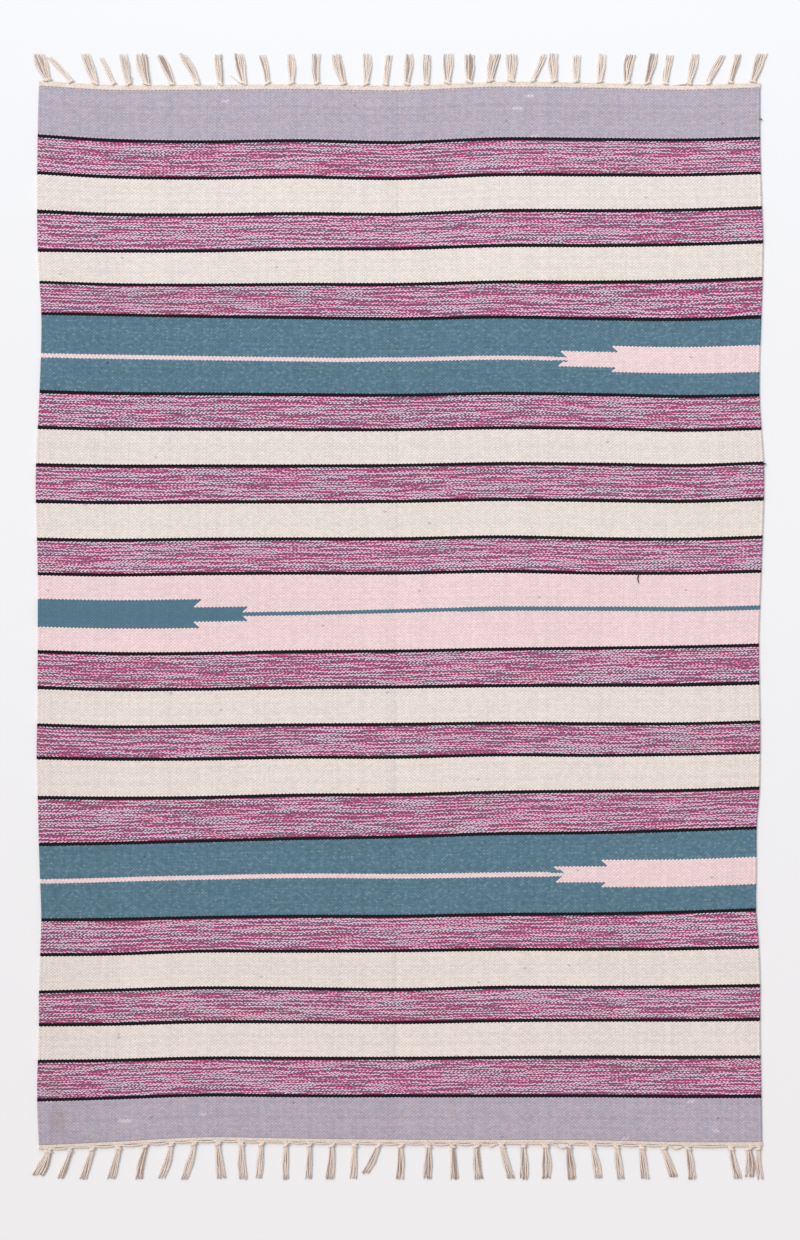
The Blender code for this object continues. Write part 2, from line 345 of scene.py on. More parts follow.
def start_grid(name, columns, rows):
    """A flat grid of one by one, its faces counted along each side, as a new active object."""
    bpy.ops.object.select_all(action="DESELECT")
    bpy.ops.mesh.primitive_grid_add(x_subdivisions=columns, y_subdivisions=rows, size=1)
    piece = bpy.context.object
    piece.name = name
    piece.data.name = name
    return piece


def points_of(piece):
    """The places of a mesh's points, as rows of x, y and z."""
    points = np.zeros(len(piece.data.vertices) * 3)
    piece.data.vertices.foreach_get("co", points)
    return points.reshape(-1, 3)


cloth = start_grid("kilim_cloth", WARPS * FACES_PER_WARP, CLOTH_ROWS)
points = points_of(cloth)
station = np.rint((points[:, 0] + 0.5) * WARPS * FACES_PER_WARP).astype(int)
row = np.rint((points[:, 1] + 0.5) * CLOTH_ROWS).astype(int)
rng = np.random.default_rng(5)
rib_heights = RIB_HEIGHT + rng.uniform(-RIB_UNEVEN, RIB_UNEVEN, WARPS + 1)
wander = rng.normal(0, WARP_WANDER, WARPS * FACES_PER_WARP + 1)
wander[[0, -1]] = 0
across = station / (WARPS * FACES_PER_WARP) * WIDTH - WIDTH / 2
along = row / CLOTH_ROWS * LENGTH - LENGTH / 2
on_rib = (station % FACES_PER_WARP > 0) * rib_heights[station // FACES_PER_WARP]
for number in range(CLOTH_ROWS + 1):
    here = row == number
    place = number / CLOTH_ROWS * LENGTH - LENGTH / 2
    x, y = lay_row(place, across[here])
    points[here, 0] = x + wander[station[here]]
    points[here, 1] = y
points[:, 2] = top_height(across, along) + on_rib
cloth.data.vertices.foreach_set("co", points.ravel())
for name, values in (("across", across / WIDTH + 0.5), ("along", along / LENGTH + 0.5)):
    kept = cloth.data.attributes.new(name, "FLOAT", "POINT")
    kept.data.foreach_set("value", values.astype(np.float32))
print("grid of", len(points), "points, top at", round(points[:, 2].max() / MM, 2), "mm")

# %% [markdown]
# So far the cloth has no thickness. The loop round all its faces is extruded and flattened to the floor,
# which gives it a rim, and one large face closes it below. The rim's edge is sharper than the ribs, so
# smooth shading stops there.

# %% Close the cloth below
SHARP_ANGLE = math.radians(50)


def close_below(piece):
    """Pull the rim of a sheet down to the floor and close it with one flat face."""
    bpy.ops.object.mode_set(mode="EDIT")
    bpy.ops.mesh.select_mode(type="FACE")
    bpy.ops.mesh.select_all(action="SELECT")
    bpy.ops.mesh.region_to_loop()
    bpy.ops.mesh.extrude_region_move()
    bpy.ops.transform.resize(value=(1, 1, 0), center_override=(0, 0, 0))
    bpy.ops.mesh.edge_face_add()
    bpy.ops.mesh.select_all(action="SELECT")
    bpy.ops.mesh.normals_make_consistent(inside=False)
    bpy.ops.object.mode_set(mode="OBJECT")
    bpy.ops.object.shade_smooth_by_angle(angle=SHARP_ANGLE)


def triangles(piece):
    """How many triangles a piece's faces make."""
    piece.data.calc_loop_triangles()
    return len(piece.data.loop_triangles)


close_below(cloth)
print("cloth:", triangles(cloth), "triangles")

# %% [markdown]
# The finish has to follow the yarns and not the floor. Each point of the cloth already carries the share of
# the way across the warps and along the picks at which it was woven, also the new points of the rim.
# Written into the cloth's UV map, the two shares give the shader a loom: whole numbers in it are whole
# warps and picks.

# %% The loom written on the cloth
def corners_of(piece):
    """The number of the point at each face corner of a mesh."""
    corners = np.zeros(len(piece.data.loops), dtype=np.int32)
    piece.data.loops.foreach_get("vertex_index", corners)
    return corners


shares = {}
for name in ("across", "along"):
    values = np.zeros(len(cloth.data.vertices), dtype=np.float32)
    cloth.data.attributes[name].data.foreach_get("value", values)
    shares[name] = values
corners = corners_of(cloth)
loom = cloth.data.uv_layers[0]
loom.name = "loom"
loom.data.foreach_set("uv", np.column_stack([shares["across"][corners], shares["along"][corners]]).ravel())
for name in shares:
    cloth.data.attributes.remove(cloth.data.attributes[name])
print("loom map written on", len(corners), "face corners")

# %% [markdown]
# All the yarns are matt cotton, so their finishes start alike: hardly any gloss, and a sheen, the pale
# bloom that loose fibres give. The cloth's finish is started here. The next cells work out its colour and
# its relief, one thing at a time.

# %% A finish to start from
YARN_SHINE = 0.12
SHEEN_ROUGHNESS = 0.6


def new_finish(name, roughness, sheen):
    """A material with its fixed values set, its shader, and a wire to start from."""
    material = bpy.data.materials.new(name)
    material.use_nodes = True
    shader = material.node_tree.nodes["Principled BSDF"]
    shader.inputs["Roughness"].default_value = roughness
    shader.inputs["Specular IOR Level"].default_value = YARN_SHINE
    shader.inputs["Sheen Weight"].default_value = sheen
    shader.inputs["Sheen Roughness"].default_value = SHEEN_ROUGHNESS
    return material, shader, Wire(material.node_tree)


weft, weft_shader, bench = new_finish("kilim_weft", roughness=0.92, sheen=0.04)
print("started", weft.name)

# %% [markdown]
# Every pick of a flat weave shows only over every second warp, and the next pick shows over the others. So
# what the eye sees is a honeycomb of short floats, each about two warps long, whose ends slip under the
# neighbours. Two chessboards of middles, one for even warps and picks and one for odd, give that honeycomb:
# the nearer middle wins. The float's warp and pick then choose its yarn, and the distance from its middle
# rounds it.

# %% The honeycomb of floats
FLOAT_SLIMNESS = 0.75
VALLEY_WIDTH = 0.55


def between(value, low, high):
    """0 at `low`, 1 at `high` and a soft step between them."""
    return value.node("ShaderNodeMapRange", {0: value, 1: low, 2: high}, interpolation_type="SMOOTHSTEP")


def squared(side, rise, weight=1.0):
    """The square of how far two steps lead, the first of them weighed."""
    return side.maths("POWER", side, 2) * weight + rise.maths("POWER", rise, 2)


def find_float(wire):
    """The float at each point of the cloth: its warp and pick, and where in it the point lies."""
    spot = wire.node("ShaderNodeUVMap", uv_map="loom")
    split = wire.node("ShaderNodeSeparateXYZ", {0: spot})
    warps = split * WARPS - 0.5
    picks = (1 - split.other(1)) * PICKS - 0.5
    even_warp = wire.maths("SNAP", warps + 1, 2)
    even_pick = wire.maths("SNAP", picks + 1, 2)
    odd_warp = wire.maths("SNAP", warps, 2) + 1
    odd_pick = wire.maths("SNAP", picks, 2) + 1
    to_even = squared(warps - even_warp, picks - even_pick, FLOAT_SLIMNESS)
    to_odd = squared(warps - odd_warp, picks - odd_pick, FLOAT_SLIMNESS)
    odd = to_odd < to_even
    warp = even_warp + odd * (odd_warp - even_warp)
    pick = even_pick + odd * (odd_pick - even_pick)
    nearest = wire.maths("MINIMUM", to_even, to_odd)
    # Soft valleys between the floats; the colour is darkened there later as painted shade.
    valley = between(wire.maths("ABSOLUTE", to_even - to_odd), 0.0, VALLEY_WIDTH)
    return {
        "warp": warp, "pick": pick, "side": warps - warp, "rise": picks - pick,
        "nearest": nearest, "open": valley, "share": split,
    }


grain = find_float(bench)
print("floats across and along:", WARPS, "by", PICKS)

# %% [markdown]
# The stripes are nothing but a list: so many picks of this yarn, then two picks of thick black, then the
# next. From it comes the pick at which each yarn starts.

# %% Stripes, counted in picks from the far end
YARNS = ("lilac", "marl", "cream", "teal", "pink", "black")
BANDS = (
    ("lilac", 32), ("marl", 21), ("cream", 21), ("marl", 20), ("cream", 21), ("marl", 20), ("teal", 47),
    ("marl", 20), ("cream", 21), ("marl", 21), ("cream", 22), ("marl", 20), ("pink", 48), ("marl", 21),
    ("cream", 22), ("marl", 19), ("cream", 22), ("marl", 25), ("teal", 49), ("marl", 20), ("cream", 23),
    ("marl", 19), ("cream", 21), ("marl", 22), ("lilac", 27),
)
LINE_PICKS = 2


def stripe_changes():
    """Each pick at which the yarn changes, with the yarn that starts there."""
    pick = 0
    changes = []
    for number, (yarn, picks) in enumerate(BANDS, start=1):
        changes.append((pick, yarn))
        pick += picks
        if number < len(BANDS):
            changes.append((pick, "black"))
            pick += LINE_PICKS
    return changes, pick


changes, total_picks = stripe_changes()
print("stripes:", len(BANDS), "bands,", total_picks, "picks")

# %% [markdown]
# Each change of yarn is one step in a running number, which the picks add up. A table of colours read by a
# ramp would be shorter, but a ramp is too coarse for 672 picks, and the edges would slip. The black yarn is
# thicker than the others and fills the gaps between its floats, so each line also has a plain core.

# %% The yarn of each pick
LINE_CORE = 0.97


def yarn_at(pick):
    """The number of the yarn that each pick is woven with."""
    number = pick * 0
    before = 0
    for start, yarn in changes:
        step = YARNS.index(yarn) - before
        if start > 0:
            number = pick.maths("MULTIPLY_ADD", pick > start - 0.5, step, number)
        before = YARNS.index(yarn)
    return number


def is_yarn(name):
    """1 on the floats woven with one yarn."""
    return stripe.maths("COMPARE", stripe, YARNS.index(name), 0.5)


def any_of(masks):
    """1 wherever one of the masks is."""
    whole = masks[0]
    for mask in masks[1:]:
        whole = whole.maths("MAXIMUM", whole, mask)
    return whole


def line_cores(wire):
    """1 in the middle of each black line, where its thicker yarn fills the gaps between the floats."""
    spot = grain["pick"] + grain["rise"]
    middles = [start + (LINE_PICKS - 1) / 2 for start, yarn in changes if yarn == "black"]
    return any_of([wire.maths("COMPARE", spot, middle, LINE_CORE) for middle in middles])


stripe = yarn_at(grain["pick"])
print("changes of yarn:", len(changes))

# %% [markdown]
# Three of the bands hold a thin line that ends in two stepped blocks. The weaver turned the yarn back one
# warp further at each pick, so a block's end is a notch like a fish's tail. A block is said by its first
# and last pick, the place of its notch, the side that it reaches out to, and how many picks in its middle
# stay in the notch.

# %% Fish-tailed blocks
TAIL_STEP = 3.3 * MM
BLOCK_COLUMNS = ("yarn", "first", "last", "notch", "side", "flat")
BLOCKS = (
    ("pink", 167, 176, 278, 1, 1.0), ("pink", 163, 179, 365.5, 1, 4.5),
    ("teal", 325, 342, -341.7, -1, 4.5), ("teal", 330, 338, -259, -1, 1.0),
    ("pink", 499, 508, 276.8, 1, 0.5), ("pink", 495, 511, 350.5, 1, 4.5),
)


def place_of(warps):
    """How far right of the rug's middle a warp lies."""
    return warps * WARP_PITCH + (WARP_PITCH / 2 - WIDTH / 2)


def block_mask(wire, block):
    """1 on the floats of one block."""
    middle = (block["first"] + block["last"]) / 2
    half = (block["last"] - block["first"]) / 2 + 0.5
    from_middle = wire.maths("ABSOLUTE", grain["pick"] - middle)
    tail = wire.maths("MAXIMUM", from_middle - block["flat"], 0.0) * TAIL_STEP
    inside = (place_of(grain["warp"]) - block["notch"] * MM) * block["side"] + tail
    return (inside > 0.0) * (from_middle < half)


blocks = named(BLOCK_COLUMNS, BLOCKS)
print("blocks:", len(blocks))

# %% [markdown]
# A thin line is two picks of thick yarn. The first goes over every second warp and the next over the
# others, so the line has teeth on both edges that stand in each other's gaps. It wanders by a pick or two,
# because it was not beaten in quite straight. So a line is told in stretches. Each has its yarn, the two
# places that it runs between, where its middle turns from one pick to another, those two picks, and half
# its thickness in picks.

# %% Thin lines between the blocks
LINE_TEETH = 0.25
LINE_COLUMNS = ("yarn", "left", "right", "turn_from", "turn_to", "start", "end", "half")
THIN_LINES = (
    ("pink", -620, 256, -110, -20, 172.25, 171.5, 1.25), ("pink", 256, 285, 256, 285, 171.5, 171.5, 1.0),
    ("teal", -270, 100, -200, 60, 334.15, 332.55, 1.2), ("teal", 100, 330, 100, 330, 332.55, 332.35, 1.42),
    ("teal", 330, 620, 330, 540, 332.35, 333.25, 1.5), ("pink", -620, -330, -560, -380, 502.3, 501.7, 1.45),
    ("pink", -330, 254, -220, 150, 501.7, 503.35, 1.45), ("pink", 254, 290, 254, 290, 503.5, 503.5, 1.0),
)


def line_mask(wire, line):
    """1 on one stretch of a thin line, with teeth on both its edges."""
    warps = grain["warp"] + grain["side"]
    x = place_of(warps)
    turn = {0: x, 1: line["turn_from"] * MM, 2: line["turn_to"] * MM, 3: line["start"], 4: line["end"]}
    middle = wire.node("ShaderNodeMapRange", turn, interpolation_type="SMOOTHSTEP")
    teeth = wire.maths("COSINE", warps * math.pi) * LINE_TEETH
    from_middle = wire.maths("ABSOLUTE", grain["pick"] + grain["rise"] - middle + teeth)
    return (from_middle < line["half"]) * (x > line["left"] * MM) * (x < line["right"] * MM)


def woven_in(wire, yarn):
    """1 on every block and thin line woven with one yarn."""
    masks = [block_mask(wire, block) for block in blocks if block["yarn"] == yarn]
    masks += [line_mask(wire, line) for line in thin_lines if line["yarn"] == yarn]
    return any_of(masks)


thin_lines = named(LINE_COLUMNS, THIN_LINES)
pink_blocks = woven_in(bench, "pink")
teal_blocks = woven_in(bench, "teal")
print("stretches of thin line:", len(thin_lines))

# %% [markdown]
# Colours are read off a screen, whose numbers rise in steps that look even, but a shader works with amounts
# of light. So each colour is written as the screen shows it and turned into light once.

# %% Colours of the yarns
def linear(red, green, blue):
    """A colour as a screen shows it, 0 to 255, turned into the light that a shader works with."""
    shares = [value / 255 for value in (red, green, blue)]
    light = [s / 12.92 if s <= 0.04045 else ((s + 0.055) / 1.055) ** 2.4 for s in shares]
    return (*light, 1.0)


YARN_COLOURS = {
    "lilac": linear(182, 174, 189),
    "cream": linear(236, 225, 219),
    "teal": linear(89, 123, 141),
    "pink": linear(243, 216, 218),
    "black": linear(26, 21, 28),
}
LILAC_PINKER = linear(187, 175, 187)
STRAND_MAGENTA = linear(182, 60, 114)
STRAND_WHITE = linear(230, 210, 226)
STRAND_SLATE = linear(86, 90, 112)
print("cream in light:", [round(value, 3) for value in YARN_COLOURS["cream"]])

# %% [markdown]
# The marled yarn is plied from magenta, white and slate strands. It is twisted so slowly that each float
# shows two or three strands side by side, one above the other. The turn of the twist says which ones. It
# goes on by about a third of a turn from pick to pick and drifts slowly along each, so the strands run as
# thin toothed rows that keep their colour for some floats. Single floats slip and break the rows up. The
# strands slant one way on even picks and the other way on odd ones, which keeps the hatching from leaning.

# %% The marled yarn
MAGENTA_SHARE = 0.44
WHITE_SHARE = 0.32
DRIFT_PER_METRE = 9.0
DRIFT_TURNS = 1.8
PICK_STRIDE = 7.31
PICK_TURN = 0.37
FIRST_TURN = 0.55
TWIST_ACROSS = 0.20
TWIST_UP = 0.52
FLOAT_SLIP = 0.30
STRAND_EDGE = 0.06


def scatter(wire, *numbers):
    """A random value from 0 to 1 for each set of whole numbers. A fixed one among them is a seed."""
    spot = wire.node("ShaderNodeCombineXYZ", numbers)
    return wire.node("ShaderNodeTexWhiteNoise", {0: spot}, noise_dimensions="3D")


def cloud(wire, x, y, detail=0.0):
    """A slow random value from about 0 to 1 that changes over x and y."""
    spot = wire.node("ShaderNodeCombineXYZ", (x, y, 0.0))
    inputs = {"Vector": spot, "Scale": 1.0, "Detail": detail}
    return wire.node("ShaderNodeTexNoise", inputs, noise_dimensions="2D")


def mix(factor, first, second):
    """A colour between two others, by a factor from 0 to 1."""
    return factor.node("ShaderNodeMix", {0: factor, 6: first, 7: second}, out=2, data_type="RGBA")


def marl_colour(wire):
    """Which strand of the marled yarn lies on top."""
    first = scatter(wire, grain["pick"], 3.0) * FIRST_TURN + grain["pick"] * PICK_TURN
    drift = cloud(wire, grain["share"] * (WIDTH * DRIFT_PER_METRE), grain["pick"] * PICK_STRIDE, detail=1.0)
    slant = (1 - wire.maths("PINGPONG", grain["pick"], 1.0) * 2) * TWIST_ACROSS
    twist = grain["side"] * slant + grain["rise"] * TWIST_UP
    slip = scatter(wire, grain["warp"], grain["pick"], 19.0) * FLOAT_SLIP
    turn = wire.maths("FRACT", first + drift * DRIFT_TURNS + twist + slip)
    colour = mix(between(turn, 0.0, STRAND_EDGE), STRAND_SLATE, STRAND_MAGENTA)
    for start, strand in ((MAGENTA_SHARE, STRAND_WHITE), (MAGENTA_SHARE + WHITE_SHARE, STRAND_SLATE)):
        colour = mix(between(turn, start - STRAND_EDGE, start + STRAND_EDGE), colour, strand)
    return colour


print("shares of magenta and white strand:", MAGENTA_SHARE, "and", WHITE_SHARE)

# %% [markdown]
# Now each float can take the colour of its yarn. The lilac drifts towards pink in slow clouds. The other
# yarns are laid over it band by band, and the lines and blocks come last, because they cross the bands.

# %% The colour of each float
TINT_SPAN = 0.16
TINT_RANGE = (0.3, 0.7)


def cloud_over(wire, scale, detail=0.0):
    """A slow random value over the cloth, the same all over one float."""
    return cloud(wire, grain["warp"] * scale, grain["pick"] * scale, detail)


def yarn_colour(wire):
    """The colour of the yarn at each float, before wear and light."""
    tint = between(cloud_over(wire, TINT_SPAN, detail=2.0), *TINT_RANGE)
    colour = mix(tint, YARN_COLOURS["lilac"], LILAC_PINKER)
    colour = mix(is_yarn("marl"), colour, marl_colour(wire))
    for yarn in ("cream", "teal", "pink", "black"):
        colour = mix(is_yarn(yarn), colour, YARN_COLOURS[yarn])
    colour = mix(line_cores(wire), colour, YARN_COLOURS["black"])
    colour = mix(pink_blocks, colour, YARN_COLOURS["pink"])
    return mix(teal_blocks, colour, YARN_COLOURS["teal"])


plain_colour = yarn_colour(bench)
print("yarns:", ", ".join(YARNS))

# %% [markdown]
# Hand-spun cotton is never even. The dark teal shows pale specks where a warp shines through, and in the
# lilac a short pinkish slub lies here and there along a pick. Each run of four warps on a pair of picks has
# its own random number, and only the highest make a slub.

# %% Slubs and specks
SLUB_SHARE = 0.004
SLUB_WARPS = 4
SLUB_STAGGER = 1.7
SLUB_MIX = 0.42
SLUB_COLOUR = linear(234, 218, 224)
SPECK_SPAN = 0.55
SPECK_RANGE = (0.45, 0.85)
SPECK_MIX = 0.12
SPECK_COLOUR = linear(206, 212, 218)


def with_slubs(wire, colour):
    """The colour with pale specks in the teal, and in the lilac pale slubs, each a few warps long."""
    specks = between(cloud_over(wire, SPECK_SPAN), *SPECK_RANGE) * on_teal
    colour = mix(specks * SPECK_MIX, colour, SPECK_COLOUR)
    pair = wire.maths("FLOOR", grain["pick"] * 0.5)
    chunk = wire.maths("FLOOR", (grain["warp"] + pair * SLUB_STAGGER) * (1 / SLUB_WARPS))
    slub = (scatter(wire, chunk, pair, 17.0) > 1 - SLUB_SHARE) * is_yarn("lilac")
    return mix(slub * SLUB_MIX, colour, SLUB_COLOUR)


on_teal = is_yarn("teal") * (1 - pink_blocks)
slubbed_colour = with_slubs(bench, plain_colour)
print("slubs on", SLUB_SHARE, "of the lilac")

# %% [markdown]
# A few marks can be told one by one: pale slubs and coloured lint in the lilac, and a brown stain at the
# near left corner. Each is an oval on the loom with a soft rim. It is said by its middle warp and pick, how
# far it reaches along both, how strong it is and its colour.

# %% Marks of their own
SLUB_WHITE = linear(246, 238, 236)
STAIN_BROWN = linear(146, 116, 96)
MARK_CORE = 0.3
MARK_COLUMNS = ("warp", "pick", "warps", "picks", "share", "colour")
MARKS = (
    (265.5, 5, 3.0, 1.2, 0.45, SLUB_WHITE), (259, 13, 4.0, 1.2, 0.40, SLUB_WHITE),
    (47, 658.5, 5.0, 1.2, 0.40, SLUB_WHITE), (60.5, 657.5, 1.6, 1.6, 0.35, STAIN_BROWN),
    (354, 17, 1.2, 1.0, 0.45, linear(80, 150, 190)), (333, 659, 1.2, 1.0, 0.45, linear(210, 130, 80)),
    (10.5, 657, 5.0, 11, 0.20, STAIN_BROWN), (8.5, 635, 5.0, 7, 0.20, STAIN_BROWN),
)


def with_marks(colour):
    """The colour with each mark of the table laid over it."""
    for mark in named(MARK_COLUMNS, MARKS):
        side = (grain["warp"] - mark["warp"]) * (1 / mark["warps"])
        off = squared(side, (grain["pick"] - mark["pick"]) * (1 / mark["picks"]))
        colour = mix((1 - between(off, MARK_CORE, 1.0)) * mark["share"], colour, mark["colour"])
    return colour


marked_colour = with_marks(slubbed_colour)
print("marks:", len(MARKS))

# %% [markdown]
# Some picks took a little more dye, some floats are fatter and catch more light, and a few seeds are caught
# in the yarn. All this follows picks, warps or single floats, so each is a random number of one of those.
# The faint dark line down the middle is painted shade along the fold where the rug lay folded in the store.
# It is stronger in some bands than in others. The left edge is painted darker towards the near end, as
# painted shade where the light falls off, and the valleys between the floats get painted shade too.

# %% Unevenness of hand-spun yarn, and painted shade
PICK_TONE = 0.06
WARP_TONE = 0.045
FLOAT_TONE = 0.11
TEAL_EXTRA = 0.9
LILAC_EXTRA = 0.5
CLOUD_TONE = 0.05
CLOUD_SPAN = 0.02
# Painted shade: the colour is darkened in the valleys between the floats.
VALLEY_SHADE = 0.16
NEP_SHARE = 0.0005
NEP_DARK = 0.22
# Painted shade along the fold down the middle.
FOLD_AT = -3.3 * MM
FOLD_LEAN = 0.0075 * MM
FOLD_WIDTH = 3.6 * MM
FOLD_SHADE = 0.09
FOLD_SPAN = 0.013
FOLD_SEED = 4.0
FOLD_RANGE = (0.3, 0.55)
# Painted shade: the left edge is darker towards the near end, where the light falls off.
EDGE_SHADE_REACH = 0.13
EDGE_SHADE_FROM = 150
EDGE_SHADE_DARK = 0.05


def brighten(colour, amount):
    """A colour made lighter or darker by a number, 1 leaving it as it is."""
    return amount.node("ShaderNodeVectorMath", {0: colour, 3: amount}, operation="SCALE")


def tone_and_shade(wire):
    """How much lighter or darker each spot is than its yarn's colour, with painted shade in the valleys,
    along the fold and at the near left edge.
    """
    pick_tone = (scatter(wire, grain["pick"], 11.0) - 0.5) * PICK_TONE
    warp_tone = (scatter(wire, grain["warp"], 12.0, 5.0) - 0.5) * WARP_TONE
    float_chance = scatter(wire, grain["warp"], grain["pick"], 13.0)
    float_tone = (float_chance - 0.5) * FLOAT_TONE
    cloth_tone = (cloud_over(wire, CLOUD_SPAN, detail=2.0) - 0.5) * CLOUD_TONE
    nep = float_chance < NEP_SHARE
    extra = on_teal * TEAL_EXTRA + is_yarn("lilac") * LILAC_EXTRA + 1
    tone = 1 + (pick_tone + warp_tone + float_tone) * extra + cloth_tone
    from_fold = grain["share"] * WIDTH - WIDTH / 2 - FOLD_AT + grain["pick"] * FOLD_LEAN
    # Painted shade along the fold, stronger in some bands than in others.
    fold = 1 - between(wire.maths("ABSOLUTE", from_fold), 0.0, FOLD_WIDTH)
    fold = fold * between(cloud(wire, grain["pick"] * FOLD_SPAN, FOLD_SEED, detail=1.0), *FOLD_RANGE)
    # Painted shade at the left edge towards the near end.
    edge_shade = (1 - between(grain["share"], 0.0, EDGE_SHADE_REACH)) * between(grain["pick"], EDGE_SHADE_FROM, PICKS)
    tone = tone - nep * NEP_DARK - fold * FOLD_SHADE - edge_shade * EDGE_SHADE_DARK
    # Painted shade in the valleys between the floats.
    return tone * (1 - (1 - grain["open"]) * VALLEY_SHADE)


toned_and_shaded_colour = brighten(marked_colour, tone_and_shade(bench))
print("valleys", VALLEY_SHADE, "darker, neps on", NEP_SHARE, "of the floats")

# %% [markdown]
# Each float is a small pillow, and its yarn shows the slanted turns of its plies. Both are too fine to
# model over two square metres, so they are relief in the finish: the distance from the float's middle gives
# the pillow, and a sine that slants across it gives the plies.

# %% Relief of the weave
PILLOW_HEIGHT = 0.55 * MM
PILLOW_REACH = 0.72
PLY_RELIEF = 0.10
PLY_SLANT_ACROSS = 9.0
PLY_SLANT_UP = 7.0


def feed(shader, colour, height, distance, strength=1.0):
    """Link a colour to a shader, and a relief made from a height."""
    bump = {"Strength": strength, "Distance": distance, "Height": height}
    relief = height.node("ShaderNodeBump", bump)
    height.tree.links.new(colour.socket, shader.inputs["Base Color"])
    height.tree.links.new(relief.socket, shader.inputs["Normal"])


def dress(piece, material):
    """Give a piece one material."""
    piece.data.materials.clear()
    piece.data.materials.append(material)


plies = bench.maths("SINE", grain["side"] * PLY_SLANT_ACROSS + grain["rise"] * PLY_SLANT_UP) * PLY_RELIEF
pillow = 1 - grain["nearest"] * (1 / PILLOW_REACH) + plies
feed(weft_shader, toned_and_shaded_colour, pillow, PILLOW_HEIGHT)
dress(cloth, weft)
print("kilim_weft has", len(weft.node_tree.nodes), "nodes")

# %% [markdown]
# At each end the weaver threw a few picks of plain cream cotton to lock the cloth. The strip is 8 mm deep
# at the far end and 6 mm at the near end, so its picks are thick enough to model: a narrow grid follows the
# edge of the cloth, with a round ridge for each pick and a ripple where it goes over and under the warps.

# %% The cream headings
HEADING_GAP = 0.4 * MM
HEADING_DEPTH = {1: 7.8 * MM, -1: 6.0 * MM}
HEADING_BASE = 3.0 * MM
HEADING_RIDGES = (0.0, 0.9, 1.0, 0.7, 0.9, 1.0, 0.2)
RIDGE_HEIGHT = 1.1 * MM
RIPPLE_HEIGHT = 0.45 * MM
RIPPLE_SWITCH = 3
FACES_PER_HEADING_WARP = 2
HEADING_WOBBLE = 0.9 * MM
WOBBLE_SPAN = 9


def make_heading(name, end, seed):
    """The cream strip along one end of the cloth. `end` is 1 at the far end and -1 at the near one."""
    stations = WARPS * FACES_PER_HEADING_WARP
    rows = len(HEADING_RIDGES) - 1
    piece = start_grid(name, stations, rows)
    spots = points_of(piece)
    share = spots[:, 0] + 0.5
    place = np.rint(share * stations).astype(int)
    line = np.rint((spots[:, 1] + 0.5) * rows).astype(int)
    step = line if end > 0 else rows - line
    x, edge = lay_row(end * LENGTH / 2, share * WIDTH - WIDTH / 2)
    ripple = np.where((place // FACES_PER_HEADING_WARP + (step > RIPPLE_SWITCH)) % 2 > 0, 1.0, -1.0)
    ridge = np.array(HEADING_RIDGES)[step]
    chances = np.random.default_rng(seed).uniform(-HEADING_WOBBLE, HEADING_WOBBLE, stations + WOBBLE_SPAN)
    wobble = np.convolve(chances, np.ones(WOBBLE_SPAN) / WOBBLE_SPAN, "valid")[place]
    spots[:, 0] = x
    spots[:, 1] = edge + end * (HEADING_GAP + step / rows * (HEADING_DEPTH[end] - HEADING_GAP + wobble))
    spots[:, 2] = HEADING_BASE + RIDGE_HEIGHT * ridge + RIPPLE_HEIGHT * ripple * ridge / 2
    piece.data.vertices.foreach_set("co", spots.ravel())
    close_below(piece)
    return piece


heading_far = make_heading("heading_far", 1, seed=15)
heading_near = make_heading("heading_near", -1, seed=16)
print("headings:", triangles(heading_far), "and", triangles(heading_near), "triangles")

# %% [markdown]
# A tassel is a bundle of warp ends tied in one overhand knot. The tables give each tassel's place along the
# heading, how far it leans, how wide it spreads and how much shorter it is than the longest, as the solids
# have them.

# %% Where each tassel lies
TASSEL_COLUMNS = ("place", "lean", "width", "short")
TASSELS_FAR = (
    (-586, -15, 20, 0), (-547, -35, 9, 6), (-506, -16, 15, 0), (-476, -19, 7, 7), (-451, -8, 13, 1),
    (-420, -11, 18, 0), (-378, -21, 12, 2), (-336, -25, 12, 0), (-298, -4, 12, 1), (-259, -8, 15, 0),
    (-220, -8, 11, 2), (-180, -2, 12, 1), (-138, -1, 12, 0), (-94, -11, 15, 1), (-56, 2, 13, 0),
    (-23, 5, 11, 2), (12, 3, 13, 0), (45, 0, 12, 1), (80, 1, 15, 0), (116, 0, 16, 1),
    (151, 8, 17, 0), (186, 1, 17, 0), (222, 17, 10, 1), (257, -1, 15, 0), (294, 0, 12, 2),
    (333, 4, 13, 0), (378, 7, 15, 1), (412, 12, 13, 0), (443, 7, 11, 2), (482, 10, 12, 0),
    (514, 24, 10, 3), (551, 12, 11, 1), (588, 15, 16, 0),
)
TASSELS_NEAR = (
    (-585, -18, 18, 6), (-548, -17, 9, 2), (-512, -14, 12, 0), (-468, -13, 13, 1), (-424, -11, 12, 0),
    (-381, -15, 12, 2), (-343, -16, 12, 0), (-303, 6, 13, 1), (-264, 2, 13, 0), (-231, -4, 11, 2),
    (-190, -1, 11, 0), (-151, -1, 10, 1), (-114, -4, 12, 0), (-76, -3, 11, 1), (-38, -20, 12, 10),
    (0, -1, 12, 0), (46, -1, 14, 1), (87, 3, 11, 0), (126, 4, 14, 0), (169, 14, 12, 1),
    (204, 2, 12, 0), (241, 1, 15, 1), (280, 6, 12, 0), (319, 11, 12, 2), (359, 7, 12, 0),
    (401, 6, 12, 1), (437, 17, 12, 4), (478, 6, 12, 0), (549, 11, 12, 1), (578, 2, 15, 4),
    (594, 3, 9, 0),
)
TIPS = {1: 934 * MM, -1: -938 * MM}


def tassels_of(end):
    """The rows of one end's table as named values."""
    return named(TASSEL_COLUMNS, TASSELS_FAR if end > 0 else TASSELS_NEAR)


def root_of(tassel, end):
    """Where a tassel leaves the cloth, as x and y."""
    x, y = lay_row(end * LENGTH / 2, [tassel["place"] * MM])
    return float(x[0]), float(y[0])


